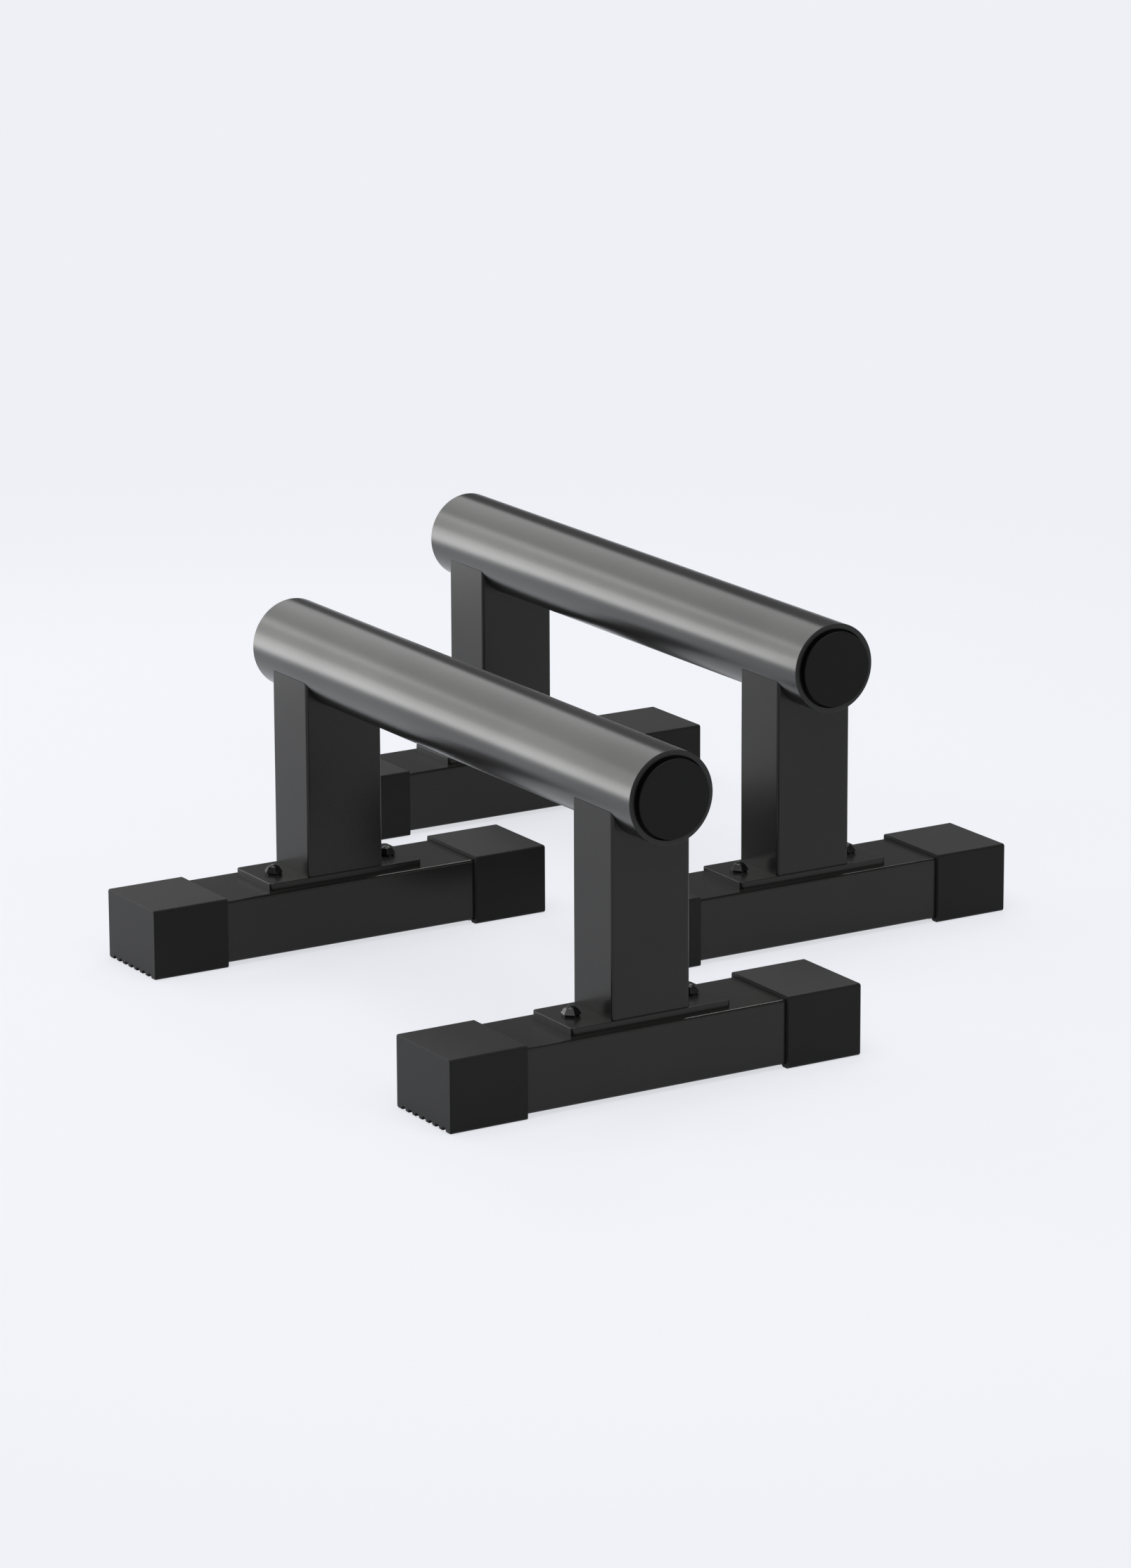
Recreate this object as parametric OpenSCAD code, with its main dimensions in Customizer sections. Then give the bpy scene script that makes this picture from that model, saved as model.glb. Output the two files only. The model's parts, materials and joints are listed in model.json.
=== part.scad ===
// A pair of low parallette bars. Each bar is a round grip tube on two coped
// uprights. Every upright stands on a base plate that is bolted across a
// rectangular foot tube, and treaded rubber caps close the foot tubes.
// X runs along the grips, Y from the near bar to the far bar, Z up from the floor.

/* [Grip] */
// Outer diameter of the grip tube
grip_d = 50; // [48:1:60]
// Wall of the grip tube
grip_wall = 3; // [2:0.5:4]
// Length of the grip tube
grip_len = 392; // [370:2:440]
// Height of the grip's axis above the floor
grip_z = 160; // [120:5:260]
// Rounding of the rims at the ends of the grip tube
grip_rim = 0.6; // [0.3:0.1:0.9]

/* [Grip plugs] */
// How far a plug's face stands out of the grip tube
plug_proud = 3.5; // [2.5:0.5:6]
// Thickness of a plug's head
plug_head_t = 1.5; // [1:0.1:2]
// Rounding of a plug's face at its rim
plug_rim = 0.4; // [0.2:0.1:0.8]
// Gap between a plug's head and the bore, all round
plug_gap = 1; // [0.5:0.1:1.5]
// Step from a plug's head down to its stem
plug_step = 2.5; // [1.5:0.5:4]
// Wall of the hollow stem
plug_wall = 2.5; // [1.5:0.5:4]
// Number of fins that grip the bore
fin_count = 4; // [2:1:6]
// Thickness of a fin
fin_t = 1.5; // [1:0.1:2]
// Distance from one fin to the next
fin_pitch = 5; // [3:0.5:8]
// Depth of the first fin inside the grip tube
fin_start = 3; // [2:0.5:6]
// Clearance between the fins and the bore, on the radius
fin_fit = 0.1; // [0.05:0.05:0.2]

/* [Uprights] */
// Distance from the end of the grip tube to the middle of the nearest foot
grip_overhang = 38; // [30:1:50]
// Width of an upright along the grip
upright_w = 38; // [30:1:40]
// Depth of an upright across the grip
upright_d = 47; // [38:1:47]
// Wall of an upright
upright_wall = 2; // [1.5:0.5:3]
// Outer corner radius of an upright
upright_r = 3; // [1:0.5:5]
// Gap between the coped top and the grip tube
cope_gap = 0.1; // [0.05:0.05:0.3]

/* [Base plates] */
// Width of a base plate
plate_w = 40; // [40:1:48]
// Length of a base plate along the foot
plate_len = 96; // [88:1:130]
// Thickness of a base plate
plate_t = 4; // [3:0.5:6]
// Corner radius of a base plate
plate_r = 4; // [2:0.5:8]
// Rounding of a base plate's upper edge
plate_edge = 0.5; // [0.2:0.1:1]

/* [Feet] */
// Width of a foot tube
foot_w = 50; // [48:1:60]
// Height of a foot tube
foot_h = 35; // [25:1:50]
// Wall of a foot tube
foot_wall = 2; // [1.5:0.5:3]
// Outer corner radius of a foot tube
foot_r = 3; // [2:0.5:5]
// Length of a foot over its rubber caps
foot_len = 249; // [220:1:320]

/* [Rubber caps] */
// Wall of a cap round the foot tube
cap_wall = 2; // [1.5:0.5:4]
// Length of a cap
cap_len = 45.5; // [30:0.5:60]
// Thickness of a cap's closed end
cap_end = 8; // [3:0.5:12]
// Radius of a cap's long corners
cap_r = 1.2; // [1.1:0.1:2.5]
// Rounding of the rim of the closed end
cap_rim = 1; // [0.4:0.1:1]
// Clearance between a cap and the foot tube, on each side
cap_fit = 0.1; // [0.05:0.05:0.3]
// Radius of a half-round groove in the sole
tread_r = 2; // [1:0.25:2.25]
// Distance from one groove to the next
tread_pitch = 6.7; // [5:0.1:9]
// Depth of the grooves where they pass under the foot tube
tread_depth = 1; // [0.4:0.1:1.4]
// Least width of plain sole outside the last groove
tread_margin = 4; // [3:0.5:8]

/* [Bolts and weld nuts] */
// Diameter of a bolt
bolt_d = 6; // [5:1:8]
// Clearance hole over the bolt's diameter
bolt_hole_fit = 0.6; // [0.3:0.1:1]
// Distance from a bolt to the end of its base plate
bolt_edge = 12; // [9:0.5:13]
// Distance from a bolt to the middle line of its foot, towards the middle of the bar
bolt_inset = 1.2; // [0:0.2:3]
// Diameter of the round neck under a bolt head
neck_d = 8.6; // [7.6:0.2:9]
// Height of the neck
neck_h = 1.2; // [0.5:0.1:2]
// Width of a bolt head across its flats
head_af = 9.4; // [9:0.2:12]
// Height of the tapered sides of a bolt head
head_taper = 3.2; // [2:0.1:5]
// Width of a bolt head across its flats at the top of its tapered sides
head_top_af = 5.4; // [4:0.2:7]
// Height of the dome on a bolt head
dome_h = 1.3; // [0.5:0.1:1.6]
// Width of the flat land round the dome
dome_land = 0.2; // [0.1:0.1:0.4]
// Angle at which the tightened heads have stopped
head_turn = -11.5; // [-30:0.5:30]
// Width of a weld nut across its flats
nut_af = 10; // [9:0.5:13]
// Height of a weld nut
nut_h = 5; // [4:0.5:7]
// Clearance between bolt and nut, on the radius
thread_fit = 0.05; // [0.02:0.01:0.1]
// Length of bolt that comes out below its nut
bolt_tail = 2; // [1:0.5:5]

/* [Pair] */
// Distance between the two grips
pair_spacing = 220; // [170:10:600]
// Distance that the far bar is set back, along its grip
pair_offset = 180; // [100:5:200]

/* [Hidden] */
BARS = ["near", "far"];
ENDS = ["front", "back"];
SIDES = ["left", "right"];

grip_paint = "#55565a";
frame_paint = "#2b2b2d";
cap_rubber = "#1f1f20";
plug_plastic = "#1a1a1b";
bolt_black = "#121213";
nut_zinc = "#9a9c9f";

// Facets of full circles and of small corner arcs
round_fn = 96;
corner_fn = 48;
// Small overrun that lets a cut pass right through a wall
cut = 1;

// Heights of the faces that the pieces stand on
foot_floor = cap_wall + cap_fit;
foot_top = foot_floor + foot_h;
plate_top = foot_top + plate_t;

// Sizes that follow from the pieces' neighbours
foot_spacing = grip_len - 2 * grip_overhang;
grip_bore = grip_d - 2 * grip_wall;
plug_head_d = grip_bore - 2 * plug_gap;
plug_stem_d = plug_head_d - 2 * plug_step;
plug_fin_d = grip_bore - 2 * fin_fit;
plug_depth = fin_start + (fin_count - 1) * fin_pitch + 2 * fin_t;
foot_tube_len = foot_len - 2 * cap_end;
cap_w = foot_w + 2 * (cap_wall + cap_fit);
cap_h = foot_h + 2 * (cap_wall + cap_fit);
bolt_y = plate_len / 2 - bolt_edge;
bolt_hole_d = bolt_d + bolt_hole_fit;
nut_top = foot_top - foot_wall;
bolt_len = plate_t + foot_wall + nut_h + bolt_tail;
dome_r = head_top_af / 2 - dome_land;
dome_ball_r = (dome_r * dome_r + dome_h * dome_h) / (2 * dome_h);
tread_half = floor((cap_w / 2 - tread_margin - tread_r) / tread_pitch);

// A hexagon's corner radius from its width across the flats
function hex_r(af) = af / 2 / cos(30);

// Rectangle with round corners, centred
module round_rect(w, h, r)
{
    if (r > 0) {
        square([w - 2 * r, h], center = true);
        square([w, h - 2 * r], center = true);
        for (x = [-1, 1], y = [-1, 1])
            translate([x * (w / 2 - r), y * (h / 2 - r)])
                circle(r, $fn = corner_fn);
    } else {
        square([w, h], center = true);
    }
}

// Section of a rectangular tube, centred
module tube_section(w, h, wall, r)
{
    difference() {
        round_rect(w, h, r);
        round_rect(w - 2 * wall, h - 2 * wall, max(r - wall, 0));
    }
}

// Strip that runs from the middle of a corner out to its side, rounded at the top
module edge_section(r, t, edge)
{
    square([r, t - edge]);
    square([r - edge, t]);
    translate([r - edge, t - edge])
        intersection() {
            circle(edge, $fn = corner_fn);
            square(edge);
        }
}

// Slab with round corners of radius r whose upper edge is rounded all the way round
module eased_slab(w, l, t, r, edge)
{
    inner_w = w - 2 * r;
    inner_l = l - 2 * r;
    translate([-inner_w / 2, -inner_l / 2, 0])
        cube([inner_w, inner_l, t]);
    for (turn = [0, 180])
        rotate([0, 0, turn]) {
            translate([inner_w / 2, inner_l / 2, 0])
                rotate([90, 0, 0])
                    linear_extrude(inner_l)
                        edge_section(r, t, edge);
            translate([-inner_w / 2, inner_l / 2, 0])
                rotate([90, 0, 90])
                    linear_extrude(inner_w)
                        edge_section(r, t, edge);
            translate([inner_w / 2, inner_l / 2, 0])
                rotate_extrude(angle = 90, $fn = corner_fn)
                    edge_section(r, t, edge);
            translate([-inner_w / 2, inner_l / 2, 0])
                rotate([0, 0, 90])
                    rotate_extrude(angle = 90, $fn = corner_fn)
                        edge_section(r, t, edge);
        }
}

// Places of the two bars, the two ends of a bar, the two sides of a foot and its bolts
module at_bar(bar)
{
    way = bar == "near" ? 1 : -1;
    translate([way * pair_offset / 2, -way * pair_spacing / 2, 0])
        children();
}

module at_foot(end)
{
    translate([(end == "front" ? 1 : -1) * foot_spacing / 2, 0, 0])
        children();
}

module at_side(side)
{
    rotate([0, 0, side == "left" ? 180 : 0])
        children();
}

module at_bolts(end)
{
    for (y = [-bolt_y, bolt_y])
        translate([(end == "front" ? -1 : 1) * bolt_inset, y, 0])
            children();
}

// Round tube with deburred rims, turned about its axis
module grip_tube()
{
    color(grip_paint)
        translate([0, 0, grip_z])
            rotate([0, 90, 0])
                rotate_extrude($fn = round_fn)
                    translate([(grip_d - grip_wall) / 2, 0])
                        round_rect(grip_wall, grip_len, grip_rim);
}

// Half section of a plug along its axis, with the end of the tube at height 0
module plug_section()
{
    head_back = plug_proud - plug_head_t;
    translate([0, head_back])
        edge_section(plug_head_d / 2, plug_head_t, plug_rim);
    translate([plug_stem_d / 2 - plug_wall, -plug_depth])
        square([plug_wall, plug_depth + plug_proud - plug_rim]);
    for (i = [0 : fin_count - 1])
        translate([plug_stem_d / 2 - plug_wall, -fin_start - i * fin_pitch - fin_t])
            square([plug_fin_d / 2 - plug_stem_d / 2 + plug_wall, fin_t]);
}

// Plug with a round head outside the tube, an undercut neck and fins on a hollow stem
module grip_plug(end)
{
    color(plug_plastic)
        rotate([0, 0, end == "front" ? 0 : 180])
            translate([grip_len / 2, 0, grip_z])
                rotate([0, 90, 0])
                    rotate_extrude($fn = round_fn)
                        plug_section();
}

// Rectangular tube from the base plate to the grip, its top coped to the round tube
module upright()
{
    color(frame_paint)
        difference() {
            translate([0, 0, plate_top])
                linear_extrude(grip_z - plate_top)
                    tube_section(upright_w, upright_d, upright_wall, upright_r);
            translate([0, 0, grip_z])
                rotate([0, 90, 0])
                    cylinder(d = grip_d + 2 * cope_gap, h = upright_w + 2 * cut,
                             center = true, $fn = round_fn);
        }
}

// Plate with two clearance holes, between an upright and its foot
module base_plate(end)
{
    color(frame_paint)
        translate([0, 0, foot_top])
            difference() {
                eased_slab(plate_w, plate_len, plate_t, plate_r, plate_edge);
                at_bolts(end)
                    translate([0, 0, -cut])
                        cylinder(d = bolt_hole_d, h = plate_t + 2 * cut, $fn = corner_fn);
            }
}

// Rectangular tube across the bar, drilled through its upper wall
module foot_tube(end)
{
    color(frame_paint)
        difference() {
            translate([0, foot_tube_len / 2, foot_floor + foot_h / 2])
                rotate([90, 0, 0])
                    linear_extrude(foot_tube_len)
                        tube_section(foot_w, foot_h, foot_wall, foot_r);
            at_bolts(end)
                translate([0, 0, nut_top - cut])
                    cylinder(d = bolt_hole_d, h = foot_wall + 2 * cut, $fn = corner_fn);
        }
}

// Row of half-round grooves that run along a cap, their tops at a given height
module tread(start, length, depth)
{
    for (i = [-tread_half : tread_half])
        translate([i * tread_pitch, start, depth - tread_r])
            rotate([-90, 0, 0])
                cylinder(r = tread_r, h = length, $fn = corner_fn);
}

// Rubber cap over the end of a foot tube: a thick grooved heel and a thin sleeve
module foot_cap(side)
{
    mouth = foot_len / 2 - cap_len;
    heel = foot_len / 2 - cap_end;
    color(cap_rubber)
        at_side(side)
            difference() {
                translate([0, mouth, cap_h / 2])
                    rotate([-90, 0, 0])
                        eased_slab(cap_w, cap_h, cap_len, cap_r, cap_rim);
                translate([0, heel, cap_h / 2])
                    rotate([90, 0, 0])
                        linear_extrude(cap_len)
                            round_rect(foot_w + 2 * cap_fit, foot_h + 2 * cap_fit, foot_r + cap_fit);
                tread(heel, cap_end + cut, tread_r);
                tread(mouth - cut, cap_len, tread_depth);
            }
}

// Head of a bolt: a round neck, tapered hexagonal sides and a low dome
module bolt_head()
{
    cylinder(d = neck_d, h = neck_h, $fn = corner_fn);
    translate([0, 0, neck_h])
        rotate([0, 0, head_turn])
            cylinder(r1 = hex_r(head_af), r2 = hex_r(head_top_af), h = head_taper, $fn = 6);
    translate([0, 0, neck_h + head_taper])
        rotate_extrude($fn = corner_fn)
            intersection() {
                translate([0, dome_h - dome_ball_r])
                    circle(dome_ball_r, $fn = corner_fn);
                square([head_top_af, dome_h]);
            }
}

// Bolt seated on the base plate, with its end below the nut
module bolt()
{
    translate([0, 0, plate_top])
        bolt_head();
    translate([0, 0, plate_top - bolt_len])
        cylinder(d = bolt_d, h = bolt_len, $fn = corner_fn);
}

module bolts(end)
{
    color(bolt_black)
        at_bolts(end)
            bolt();
}

// Hexagonal nuts welded under the upper wall of the foot tube
module weld_nuts(end)
{
    color(nut_zinc)
        at_bolts(end)
            translate([0, 0, nut_top - nut_h])
                difference() {
                    cylinder(r = hex_r(nut_af), h = nut_h, $fn = 6);
                    translate([0, 0, -cut])
                        cylinder(r = bolt_d / 2 + thread_fit, h = nut_h + 2 * cut, $fn = corner_fn);
                }
}

for (bar = BARS) {
    at_bar(bar) grip_tube();
    for (end = ENDS) {
        at_bar(bar) grip_plug(end);
        at_bar(bar) at_foot(end) upright();
        at_bar(bar) at_foot(end) base_plate(end);
        at_bar(bar) at_foot(end) foot_tube(end);
        for (side = SIDES)
            at_bar(bar) at_foot(end) foot_cap(side);
        at_bar(bar) at_foot(end) bolts(end);
        at_bar(bar) at_foot(end) weld_nuts(end);
    }
}
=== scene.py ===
import json
import math
from contextlib import contextmanager

import bmesh
import bpy
from mathutils import Matrix, Vector


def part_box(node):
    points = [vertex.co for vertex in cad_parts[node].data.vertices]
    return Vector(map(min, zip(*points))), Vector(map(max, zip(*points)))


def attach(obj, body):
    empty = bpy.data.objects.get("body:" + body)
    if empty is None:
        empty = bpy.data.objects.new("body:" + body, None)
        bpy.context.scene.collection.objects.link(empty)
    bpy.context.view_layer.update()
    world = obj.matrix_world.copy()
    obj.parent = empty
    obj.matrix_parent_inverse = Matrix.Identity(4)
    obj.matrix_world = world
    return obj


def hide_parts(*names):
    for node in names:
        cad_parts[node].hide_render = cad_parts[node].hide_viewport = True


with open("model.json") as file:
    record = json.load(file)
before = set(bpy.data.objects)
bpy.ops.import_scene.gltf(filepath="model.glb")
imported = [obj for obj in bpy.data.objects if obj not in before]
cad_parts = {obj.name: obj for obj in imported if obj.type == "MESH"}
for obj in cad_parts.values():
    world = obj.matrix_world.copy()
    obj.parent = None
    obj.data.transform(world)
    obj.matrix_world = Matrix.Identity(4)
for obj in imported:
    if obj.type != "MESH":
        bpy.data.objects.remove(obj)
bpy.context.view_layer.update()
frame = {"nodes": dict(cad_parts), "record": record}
bpy.ops.object.select_all(action="DESELECT")

MM = 0.001
BARS = ("near", "far")
ENDS = {"front": 1, "back": -1}
SIDES = {"left": -1, "right": 1}


# Camera at the photograph's viewpoint

bpy.ops.object.camera_add(
    location=(2.8446, -1.7421, 0.9857), rotation=(1.30743, 0.00416, 1.01945)
)
camera = bpy.context.object
camera.data.lens = 143.09
camera.data.clip_end = 60
bpy.context.scene.camera = camera
bpy.context.scene.view_settings.view_transform = "Standard"


# Sizes and places of the CAD pieces


def middle_of(node):
    low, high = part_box(node)
    return (low + high) / 2


def size_of(node):
    low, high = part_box(node)
    return high - low


GRIP = size_of("near_grip_tube")
GRIP_Z = middle_of("near_grip_tube").z
UPRIGHT = size_of("near_upright_front")
PLATE = size_of("near_base_plate_front")
PLATE_Z = middle_of("near_base_plate_front").z
PLATE_TOP = PLATE_Z + PLATE.z / 2
FOOT = size_of("near_foot_tube_front")
FOOT_Z = middle_of("near_foot_tube_front").z
CAP = size_of("near_foot_cap_front_right")

# Walls, gaps and edges of the hand-made pieces
GRIP_WALL = 3 * MM
GRIP_RIM = 0.3 * MM
FRAME_WALL = 2 * MM
TUBE_CORNER = 1.6 * MM
COPE_GAP = 0.1 * MM
PLATE_CORNER = 2.2 * MM
PLATE_EDGE = 0.35 * MM
CAP_WALL = 2 * MM
CAP_END = 8 * MM
CAP_CORNER = 1.5 * MM
CAP_RIM = 0.8 * MM
TREAD_PITCH = 6.7 * MM
TREAD_MIDDLE = 3
BOLT_TO_PLATE_END = 12 * MM
BOLT_INSET = 1.2 * MM
# All the bolts sit this much forward in their clearance holes
BOLT_PLAY = 0.3 * MM
# Angles at which the tightened bolt heads have stopped, in degrees
USUAL_TURN = -24.5
TURNS = {
    ("near", "front", "left"): -11.5,
    ("near", "back", "left"): -20.5,
    ("far", "front", "left"): -16.0,
}


# Shader maths


class Wire:
    """One output of a material's nodes. Sums and products of wires add Math nodes."""

    def __init__(self, tree, socket=None):
        self.tree = tree
        self.socket = socket

    def node(self, kind, settings=None, inputs=None, output=0):
        """Adds a node: its settings first, then the values and wires of its sockets."""
        made = self.tree.nodes.new(kind)
        for name, value in (settings or {}).items():
            setattr(made, name, value)
        for name, value in (inputs or {}).items():
            if isinstance(value, Wire):
                self.tree.links.new(value.socket, made.inputs[name])
            else:
                made.inputs[name].default_value = value
        return Wire(self.tree, made.outputs[output] if made.outputs else None)

    def maths(self, operation, *terms):
        return self.node("ShaderNodeMath", {"operation": operation}, dict(enumerate(terms)))

    def __add__(self, other):
        return self.maths("ADD", self, other)

    def __radd__(self, other):
        return self.maths("ADD", other, self)

    def __mul__(self, other):
        return self.maths("MULTIPLY", self, other)

    def __rmul__(self, other):
        return self.maths("MULTIPLY", other, self)

    def noise(self, scale, detail=2):
        return self.node(
            "ShaderNodeTexNoise", None, {"Vector": self, "Scale": scale, "Detail": detail}
        )

    def between(self, low, high):
        """Fades from 0 to 1 as the wire goes from low to high."""
        return self.node(
            "ShaderNodeMapRange", {"interpolation_type": "SMOOTHSTEP"},
            {"Value": self, "From Min": low, "From Max": high},
        )

    def shade(self, dark, light):
        """A colour between two, by the wire's value."""
        colour_a, colour_b, colour_out = 6, 7, 2
        return self.node(
            "ShaderNodeMix", {"data_type": "RGBA"},
            {"Factor": self, colour_a: (*dark, 1), colour_b: (*light, 1)}, colour_out,
        )

    def relief(self, depth):
        """Bumps of a given depth, as high as the wire's value says."""
        return self.node("ShaderNodeBump", None, {"Height": self, "Distance": depth})


def blank_tree(owner):
    """Empties the nodes of a material or a world and gives a wire to start from."""
    owner.use_nodes = True
    owner.node_tree.nodes.clear()
    return Wire(owner.node_tree)


def object_place(start):
    return start.node("ShaderNodeTexCoord", output=3)


def make_finish(coat, constants):
    """A material named for its coat, with the constants set on the shader's own sockets."""
    material = bpy.data.materials.new(coat.__name__)
    place = object_place(blank_tree(material))
    shader = place.node("ShaderNodeBsdfPrincipled", None, {**constants, **coat(place)})
    place.node("ShaderNodeOutputMaterial", None, {"Surface": shader})
    return material


# Finishes: each coat's varying values, from the place on the object


def grip_paint(place):
    cloud = place.noise(9)
    peel = place.noise(420, 1)
    return {
        "Base Color": cloud.between(0.35, 0.65).shade(
            (0.084, 0.0835, 0.0822), (0.095, 0.0945, 0.0932)
        ),
        "Roughness": 0.22 + 0.04 * cloud + 0.02 * peel,
        "Normal": peel.relief(0.006 * MM),
    }


def frame_coat(place):
    cloud = place.noise(14)
    peel = place.noise(650)
    return {
        "Base Color": cloud.between(0.3, 0.7).shade(
            (0.0068, 0.0066, 0.0063), (0.0086, 0.0084, 0.008)
        ),
        "Roughness": 0.19 + 0.05 * cloud + 0.03 * peel,
        "Normal": peel.relief(0.01 * MM),
    }


def cap_rubber(place):
    cloud = place.noise(22)
    grain = place.noise(1500)
    return {
        "Base Color": cloud.between(0.3, 0.7).shade(
            (0.0052, 0.0051, 0.0049), (0.0066, 0.0065, 0.0062)
        ),
        "Roughness": 0.4 + 0.08 * cloud + 0.06 * grain,
        "Normal": grain.relief(0.03 * MM),
    }


def plug_plastic(place):
    cloud = place.noise(30)
    grain = place.noise(1900, 1)
    return {
        "Base Color": cloud.shade((0.0058, 0.0057, 0.0055), (0.0074, 0.0073, 0.007)),
        "Roughness": 0.46 + 0.08 * cloud + 0.05 * grain,
        "Normal": grain.relief(0.02 * MM),
    }


def bolt_black(place):
    cloud = place.noise(160)
    return {
        "Base Color": cloud.shade((0.004, 0.004, 0.0042), (0.007, 0.007, 0.0073)),
        "Roughness": 0.2 + 0.08 * cloud,
        "Normal": cloud.relief(0.03 * MM),
    }


# Painted shade: the grip's end faces and their rounded rims take this darker, non-metal finish
# instead of the grip's paint. It stands in for the darker reflection there and hides the rim's
# highlight.
def grip_end_painted_shade(place):
    cloud = place.noise(60)
    return {
        "Base Color": cloud.shade((0.011, 0.0108, 0.0103), (0.014, 0.0137, 0.013)),
        "Roughness": 0.34 + 0.1 * cloud,
        "Normal": place.noise(900).relief(0.02 * MM),
    }


# Painted light: the plates' end faces take this lighter finish than the frame's coat. It stands in
# for the light bounced onto them.
def plate_end_painted_light(place):
    cloud = place.noise(60)
    return {
        "Base Color": cloud.shade((0.0125, 0.0123, 0.0118), (0.0165, 0.0162, 0.0155)),
        "Roughness": 0.3 + 0.1 * cloud,
        "Normal": place.noise(700).relief(0.03 * MM),
    }


def nut_zinc(place):
    cloud = place.noise(90, 3)
    return {
        "Base Color": cloud.between(0.3, 0.7).shade((0.44, 0.45, 0.47), (0.58, 0.59, 0.61)),
        "Roughness": 0.26 + 0.2 * cloud,
    }


FINISHES = {
    "grip": make_finish(grip_paint, {"Metallic": 1.0}),
    # Painted shade on the grip's end faces and rims
    "grip_end": make_finish(grip_end_painted_shade, {"Specular IOR Level": 0.3}),
    "frame": make_finish(
        frame_coat,
        {
            "Specular IOR Level": 0.3,
            "Specular Tint": (1.0, 0.985, 0.94, 1),
            "Sheen Weight": 0.03,
            "Sheen Roughness": 0.4,
        },
    ),
    # Painted light on the plates' end faces
    "plate_end": make_finish(plate_end_painted_light, {"Specular IOR Level": 0.35}),
    "foot_rubber": make_finish(
        cap_rubber,
        {"Specular IOR Level": 0.15, "Sheen Weight": 0.165, "Sheen Roughness": 0.4},
    ),
    "plug": make_finish(plug_plastic, {"Specular IOR Level": 0.12}),
    "bolt": make_finish(bolt_black, {"Specular IOR Level": 0.38}),
    "nut": make_finish(nut_zinc, {"Metallic": 1.0}),
}

for subpart in frame["record"]["subparts"]:
    node = frame["nodes"][subpart["node"]]
    node.data.materials.clear()
    node.data.materials.append(FINISHES[subpart["material_slot"]])


# Modelling by hand


def only(piece):
    bpy.ops.object.select_all(action="DESELECT")
    piece.select_set(True)
    bpy.context.view_layer.objects.active = piece
    return piece


def settle(name):
    """Names the new primitive and puts its place, turn and size into its mesh."""
    piece = only(bpy.context.object)
    piece.name = name
    bpy.ops.object.transform_apply(location=True, rotation=True, scale=True)
    return piece


def block(name, size, place=(0, 0, 0)):
    bpy.ops.mesh.primitive_cube_add(size=1, scale=size, location=place)
    return settle(name)


def rod(name, radius, length, place, axis="Z", corners=48):
    """Cylinder with its middle at a place, along one axis."""
    turn = {"X": (0, math.pi / 2, 0), "Y": (math.pi / 2, 0, 0), "Z": (0, 0, 0)}[axis]
    bpy.ops.mesh.primitive_cylinder_add(
        vertices=corners, radius=radius, depth=length, location=place, rotation=turn
    )
    return settle(name)


@contextmanager
def editing(piece):
    only(piece)
    bpy.ops.object.mode_set(mode="EDIT")
    yield
    bpy.ops.object.mode_set(mode="OBJECT")


def pick(piece, kind, test):
    """Selects the faces or the edges that pass a test."""
    bpy.ops.mesh.select_mode(type=kind)
    bpy.ops.mesh.select_all(action="DESELECT")
    mesh = bmesh.from_edit_mesh(piece.data)
    for part in mesh.faces if kind == "FACE" else mesh.edges:
        if test(part):
            part.select_set(True)
    bmesh.update_edit_mesh(piece.data)


def bevel(piece, test, width, segments):
    pick(piece, "EDGE", test)
    bpy.ops.mesh.bevel(offset=width, segments=segments, profile=0.5, affect="EDGES")


def push(move, scale=None):
    """Extrudes the picked faces, then resizes them in their own plane."""
    bpy.ops.mesh.extrude_region_move(TRANSFORM_OT_translate={"value": move})
    if scale:
        bpy.ops.transform.resize(value=scale)


def lift(piece, height):
    with editing(piece):
        pick(piece, "FACE", lambda face: True)
        bpy.ops.transform.translate(value=(0, 0, height))


def carve(piece, tool, operation="DIFFERENCE"):
    cut = only(piece).modifiers.new("cut", "BOOLEAN")
    cut.object = tool
    cut.operation = operation
    cut.solver = "EXACT"
    bpy.ops.object.modifier_apply(modifier="cut")
    bpy.data.objects.remove(tool, do_unlink=True)


def smooth(piece, angle=32):
    """Smooth shading that leaves the flat faces flat."""
    only(piece)
    bpy.ops.object.shade_smooth_by_angle(angle=math.radians(angle))
    piece.modifiers.new("even", "WEIGHTED_NORMAL").keep_sharp = True
    bpy.ops.object.modifier_apply(modifier="even")
    return piece


NEAR_ENOUGH = 0.02 * MM


def ends_at(edge, axis, *places):
    """True if both ends of an edge lie at one of the places along an axis."""
    return any(all(abs(v.co[axis] - p) < NEAR_ENOUGH for v in edge.verts) for p in places)


def runs_along(edge, axis):
    return abs((edge.verts[0].co - edge.verts[1].co).normalized()[axis]) > 0.999


def goes_round_x(edge):
    """True if both ends of an edge are equally far from the X axis."""
    radii = [math.hypot(v.co.y, v.co.z) for v in edge.verts]
    return abs(radii[0] - radii[1]) < NEAR_ENOUGH


def tube_blank(name, size, axis):
    """Open rectangular tube with rounded outer corners, centred, along an axis."""
    tube = block(name, size)
    across = [i for i in range(3) if i != axis]

    def is_outer_corner(edge):
        first = edge.verts[0].co
        return runs_along(edge, axis) and all(
            abs(abs(first[i]) - size[i] / 2) < NEAR_ENOUGH for i in across
        )

    with editing(tube):
        pick(tube, "FACE", lambda face: abs(face.normal[axis]) > 0.9)
        bpy.ops.mesh.inset(thickness=FRAME_WALL)
        bpy.ops.mesh.bridge_edge_loops()
        bevel(tube, is_outer_corner, TUBE_CORNER, 6)
    return tube


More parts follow.
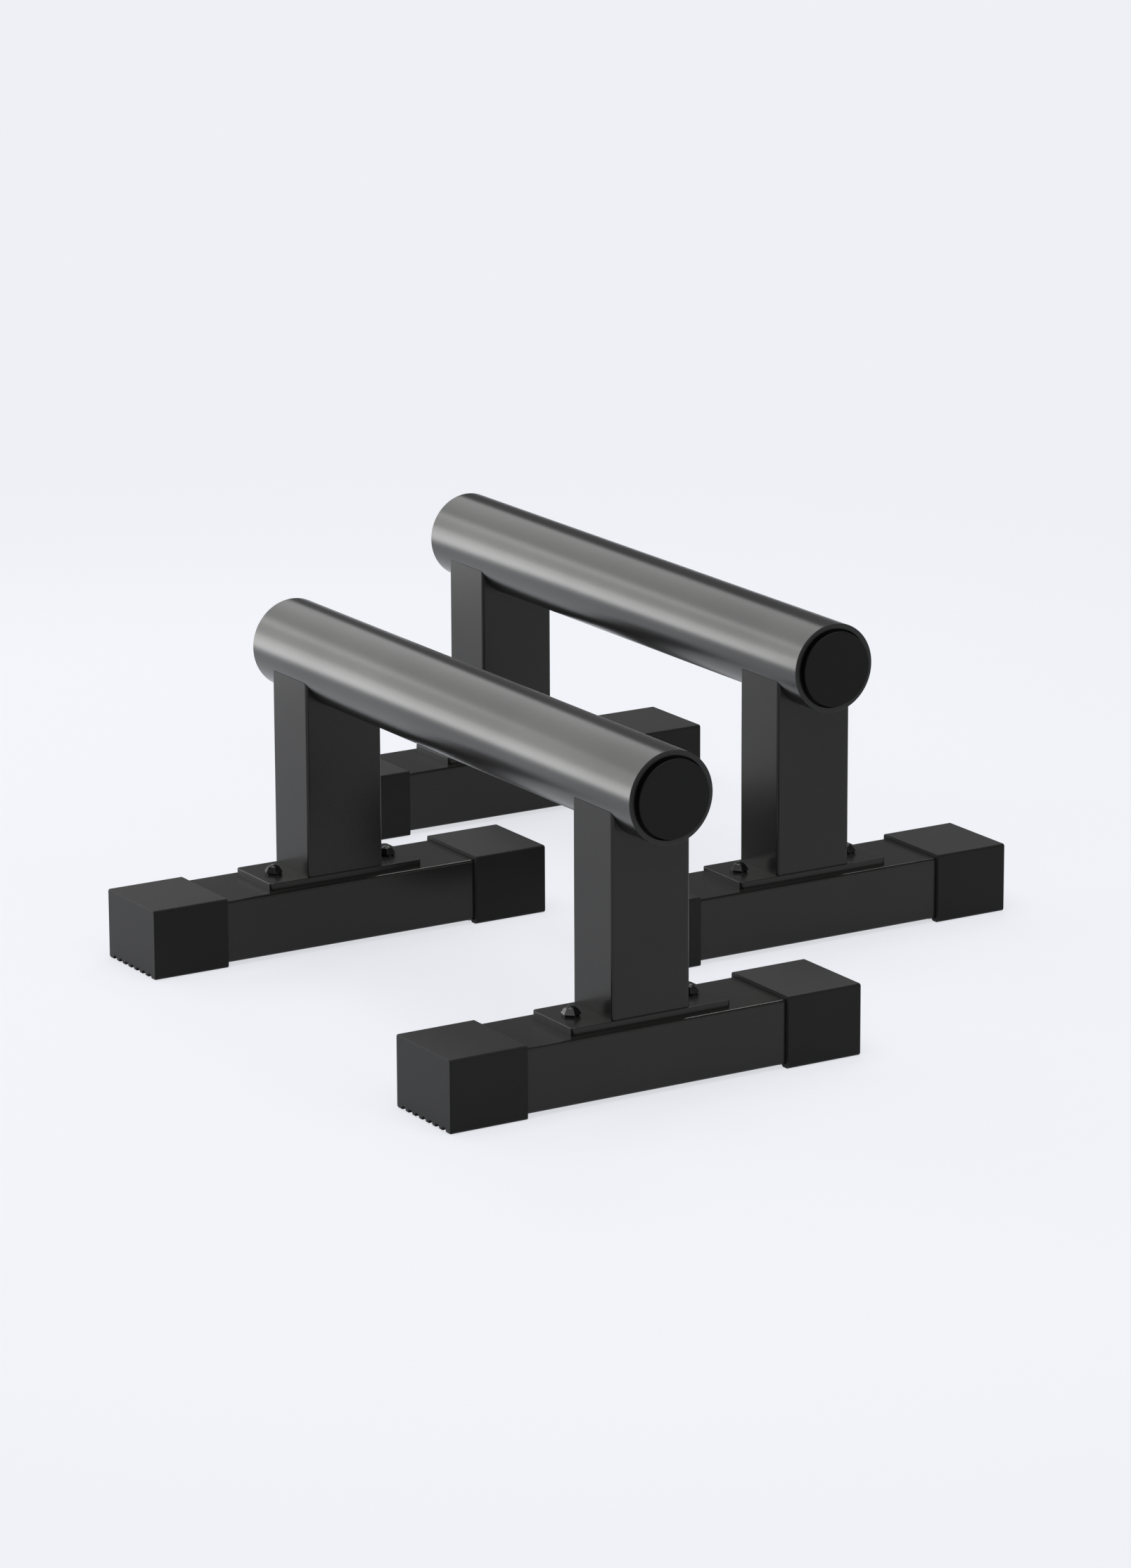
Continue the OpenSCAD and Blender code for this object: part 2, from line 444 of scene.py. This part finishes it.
def grip_tube():
    tube = rod("grip_tube", GRIP.z / 2, GRIP.x, (0, 0, 0), "X", 144)
    with editing(tube):
        pick(tube, "FACE", lambda face: abs(face.normal.x) > 0.9)
        bpy.ops.mesh.inset(thickness=GRIP_WALL)
        bpy.ops.mesh.bridge_edge_loops()
        bevel(
            tube,
            lambda edge: ends_at(edge, 0, -GRIP.x / 2, GRIP.x / 2) and goes_round_x(edge),
            GRIP_RIM, 3,
        )
    return smooth(tube)


def grip_plug():
    """Plug for the +X end: a round head, a neck, and four fins on a hollow stem."""
    face, head_back, neck_end, stem_wall = 3.5 * MM, 2.5 * MM, -3 * MM, 2.5 * MM
    head_r, stem_r, fin_r = 21 * MM, 18.5 * MM, 21.9 * MM
    fin_count, fin_thick, fin_gap, tail, hollow = 4, 1.5 * MM, 3.5 * MM, 1.5 * MM, 20 * MM
    widen = (1, fin_r / stem_r, fin_r / stem_r)
    narrow = (1, stem_r / fin_r, stem_r / fin_r)
    plug = rod(
        "grip_plug", head_r, face - head_back, ((face + head_back) / 2, 0, 0), "X", 96
    )
    with editing(plug):
        bevel(plug, lambda edge: ends_at(edge, 0, face), 0.4 * MM, 4)
        pick(plug, "FACE", lambda part: part.normal.x < -0.9)
        bpy.ops.mesh.inset(thickness=head_r - stem_r)
        push((neck_end - head_back, 0, 0))
        for fin in range(fin_count):
            push((0, 0, 0), widen)
            push((-fin_thick, 0, 0))
            push((0, 0, 0), narrow)
            push((-fin_gap if fin < fin_count - 1 else -tail, 0, 0))
        bpy.ops.mesh.inset(thickness=stem_wall)
        push((hollow, 0, 0))
    return smooth(plug)


def upright():
    """Upright between its plate and the grip's axis, its top coped to the round tube."""
    foot_of_post = middle_of("near_upright_front").z - UPRIGHT.z / 2
    height = GRIP_Z - foot_of_post
    post = tube_blank("upright", (UPRIGHT.x, UPRIGHT.y, height), 2)
    lift(post, GRIP_Z - height / 2)
    cope = rod("cope_cutter", GRIP.z / 2 + COPE_GAP, 100 * MM, (0, 0, GRIP_Z), "X", 192)
    carve(post, cope)
    return smooth(post)


def base_plate():
    plate = block("base_plate", PLATE, (0, 0, PLATE_Z))
    with editing(plate):
        bevel(plate, lambda edge: runs_along(edge, 2), PLATE_CORNER, 6)
        bevel(plate, lambda edge: ends_at(edge, 2, PLATE_TOP), PLATE_EDGE, 3)
    return smooth(plate)


def foot_tube():
    tube = tube_blank("foot_tube", tuple(FOOT), 1)
    lift(tube, FOOT_Z)
    return smooth(tube)


def foot_cap():
    """Rubber cap for the right end of a foot, its outer face at the end of the foot."""
    outer = FOOT.y / 2 + CAP_END
    heel_tread = {"radius": 2.25 * MM, "length": 18 * MM, "y": outer, "z": 0.25 * MM}
    sole_tread = {"radius": 2 * MM, "length": 60 * MM, "y": outer - 38 * MM, "z": -1 * MM}
    cap = block("foot_cap", CAP, (0, outer - CAP.y / 2, CAP.z / 2))
    with editing(cap):
        bevel(cap, lambda edge: runs_along(edge, 1), CAP_CORNER, 5)
        bevel(cap, lambda edge: ends_at(edge, 1, outer), CAP_RIM, 4)
        pick(cap, "FACE", lambda face: face.normal.y < -0.9)
        bpy.ops.mesh.inset(thickness=CAP_WALL)
        push((0, CAP.y - CAP_END, 0))
    for groove in range(-TREAD_MIDDLE, TREAD_MIDDLE + 1):
        for tread in (heel_tread, sole_tread):
            place = (groove * TREAD_PITCH, tread["y"], tread["z"])
            carve(cap, rod("tread_cutter", tread["radius"], tread["length"], place, "Y", 32))
    return smooth(cap)


def bolt(turn):
    """Bolt on its plate at height 0: neck, tapered hexagon, low dome, and the shank below."""
    flats, top_flats, foot, top = 9.7 * MM, 5.8 * MM, 1.2 * MM, 4.3 * MM
    dome_r, dome_z, dome_cut = 4.7 * MM, 0.6 * MM, 4.1 * MM
    neck_r, neck_top, shank_r, shank = 4.3 * MM, 1.4 * MM, 3 * MM, 13 * MM
    bpy.ops.mesh.primitive_cylinder_add(
        vertices=6, radius=flats / 2 / math.cos(math.pi / 6), depth=top - foot,
        location=(0, 0, (top + foot) / 2), rotation=(0, 0, math.radians(turn + 30)),
    )
    head = settle("bolt")
    with editing(head):
        pick(head, "FACE", lambda face: face.normal.z > 0.9)
        bpy.ops.transform.resize(value=(top_flats / flats, top_flats / flats, 1))
        bevel(head, lambda edge: True, 0.2 * MM, 2)
    bpy.ops.mesh.primitive_uv_sphere_add(
        segments=64, ring_count=48, radius=dome_r, location=(0, 0, dome_z)
    )
    dome = settle("dome")
    with editing(dome):
        pick(dome, "FACE", lambda face: True)
        bpy.ops.mesh.bisect(
            plane_co=(0, 0, dome_cut), plane_no=(0, 0, 1), clear_inner=True, use_fill=True
        )
    carve(head, dome, "UNION")
    stem = rod("stem", neck_r, neck_top, (0, 0, neck_top / 2))
    with editing(stem):
        pick(stem, "FACE", lambda face: face.normal.z < -0.9)
        bpy.ops.mesh.inset(thickness=neck_r - shank_r)
        push((0, 0, -shank))
    carve(head, stem, "UNION")
    return smooth(head, 25)


# Copies of the models, placed on the two bars


def put(model, name, bar, slot, node, move=(0, 0, 0), turn=0):
    """Copies a model with its own mesh to its place on a bar, and lets it stand for its CAD node."""
    piece = model.copy()
    piece.data = model.data.copy()
    bpy.context.collection.objects.link(piece)
    piece.name = name
    piece.data.transform(Matrix.Translation(move) @ Matrix.Rotation(turn, 4, "Z"))
    piece.data.materials.clear()
    piece.data.materials.append(FINISHES[slot])
    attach(piece, bar + "_bar")
    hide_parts(node)
    return piece


def repaint_faces(piece, finish, test):
    """Gives the faces that pass a test a second material. Here it paints shade on the grip's ends
    and light on the plates' ends.
    """
    piece.data.materials.append(FINISHES[finish])
    for face in filter(test, piece.data.polygons):
        face.material_index = len(piece.data.materials) - 1


grip_model = grip_tube()
plug_model = grip_plug()
upright_model = upright()
plate_model = base_plate()
tube_model = foot_tube()
cap_model = foot_cap()
bolt_models = {turn: bolt(turn) for turn in (USUAL_TURN, *TURNS.values())}

for bar in BARS:
    middle = middle_of(bar + "_grip_tube")
    grip = put(grip_model, bar + "_grip", bar, "grip", bar + "_grip_tube", middle)
    # The grip's end faces and rims take the darker finish: painted shade
    repaint_faces(grip, "grip_end", lambda face: abs(face.normal.x) > 0.25)
    for end, way in ENDS.items():
        foot = middle_of(f"{bar}_foot_tube_{end}")
        ground = (foot.x, foot.y, 0)
        grip_end = middle + Vector((way * GRIP.x / 2, 0, 0))
        put(
            plug_model, f"{bar}_plug_{end}", bar, "plug", f"{bar}_grip_plug_{end}",
            grip_end, 0 if way > 0 else math.pi,
        )
        put(upright_model, f"{bar}_post_{end}", bar, "frame", f"{bar}_upright_{end}", ground)
        plate = put(
            plate_model, f"{bar}_plate_{end}", bar, "frame", f"{bar}_base_plate_{end}", ground
        )
        # The plate's end faces take the lighter finish: painted light
        repaint_faces(plate, "plate_end", lambda face: abs(face.normal.y) > 0.95)
        put(tube_model, f"{bar}_foot_{end}", bar, "frame", f"{bar}_foot_tube_{end}", ground)
        for side, hand in SIDES.items():
            put(
                cap_model, f"{bar}_cap_{end}_{side}", bar, "foot_rubber",
                f"{bar}_foot_cap_{end}_{side}", ground, 0 if hand > 0 else math.pi,
            )
            bolt_place = (
                foot.x - way * BOLT_INSET + BOLT_PLAY,
                foot.y + hand * (PLATE.y / 2 - BOLT_TO_PLATE_END),
                PLATE_TOP,
            )
            put(
                bolt_models[TURNS.get((bar, end, side), USUAL_TURN)],
                f"{bar}_bolt_{end}_{side}", bar, "bolt", f"{bar}_bolts_{end}", bolt_place,
            )

models = [grip_model, plug_model, upright_model, plate_model, tube_model, cap_model]
for model in (*models, *bolt_models.values()):
    bpy.data.objects.remove(model, do_unlink=True)


# Floor, world and lamps

PALE = (0.855, 0.871, 0.913)
DIM = (0.15, 0.15, 0.155)
FLOOR_RADIUS = 1.3
FLOOR_FADE = (0.7, 1.29)
# Share of the floor's own pale glow, for the camera and in reflections
SEEN_GLOW = 0.75
MIRRORED_GLOW = 0.58


def floor_material():
    """Pale floor that takes the object's shadow and fades out into the pale world."""
    material = bpy.data.materials.new("pale_floor")
    start = blank_tree(material)
    camera_ray, glossy_ray, through_ray = (
        start.node("ShaderNodeLightPath", output=name)
        for name in ("Is Camera Ray", "Is Glossy Ray", "Is Transmission Ray")
    )
    glow_share = camera_ray * SEEN_GLOW + (glossy_ray + through_ray) * MIRRORED_GLOW
    lit = start.node("ShaderNodeBsdfDiffuse", None, {"Color": (*PALE, 1)})
    glow = start.node("ShaderNodeEmission", None, {"Color": (*PALE, 1), "Strength": 1.0})
    floor_shader = start.node("ShaderNodeMixShader", None, {0: glow_share, 1: lit, 2: glow})
    away = start.node(
        "ShaderNodeVectorMath", {"operation": "LENGTH"}, {0: object_place(start)}, output=1
    )
    gone = start.node("ShaderNodeBsdfTransparent")
    faded = start.node(
        "ShaderNodeMixShader", None, {0: away.between(*FLOOR_FADE), 1: floor_shader, 2: gone}
    )
    start.node("ShaderNodeOutputMaterial", None, {"Surface": faded})
    return material


def studio_world():
    """Pale below the horizon, where the camera sees it past the floor, and dim above."""
    world = bpy.data.worlds.new("studio")
    start = blank_tree(world)
    heading = start.node("ShaderNodeTexCoord")
    level = start.node("ShaderNodeSeparateXYZ", None, {0: heading}, output=2)
    sky = level.between(-0.01, 0.02).shade(PALE, DIM)
    backdrop = start.node("ShaderNodeBackground", None, {"Color": sky, "Strength": 1.0})
    start.node("ShaderNodeOutputWorld", None, {"Surface": backdrop})
    return world


def softbox(name, place, width, height, glow):
    """Soft lamp of a given brightness that faces the bars."""
    aim = Vector((0, 0, 0.1))
    bpy.ops.object.light_add(type="AREA", location=place)
    lamp = bpy.context.object
    lamp.name = name
    lamp.rotation_euler = (aim - Vector(place)).to_track_quat("-Z", "Y").to_euler()
    lamp.data.shape = "RECTANGLE"
    lamp.data.size = width
    lamp.data.size_y = height
    lamp.data.energy = glow * math.pi * width * height
    lamp.visible_camera = False


bpy.ops.mesh.primitive_circle_add(
    vertices=96, radius=FLOOR_RADIUS, fill_type="NGON", location=(0, 0, -0.2 * MM)
)
floor = settle("floor")
floor.data.materials.append(floor_material())
bpy.context.scene.world = studio_world()

softbox("key_low", (-1.9, -1.35, 0.02), 2.0, 0.95, 3.6)
softbox("key_high", (-1.8, -1.28, 0.86), 2.0, 0.72, 2.1)
softbox("back_high", (-1.7, -0.13, 1.36), 1.95, 1.0, 1.5)
softbox("back_right", (-0.85, 0.95, 1.5), 0.6, 0.45, 6.5)
softbox("front_fill", (1.0, -1.35, 1.35), 0.9, 0.7, 1.9)
softbox("right_low", (1.8, 1.2, 0.72), 1.5, 0.5, 1.5)
softbox("right_high", (1.5, 0.05, 1.5), 1.4, 1.0, 1.8)
softbox("top", (0.1, -0.3, 2.4), 2.0, 2.0, 3.2)
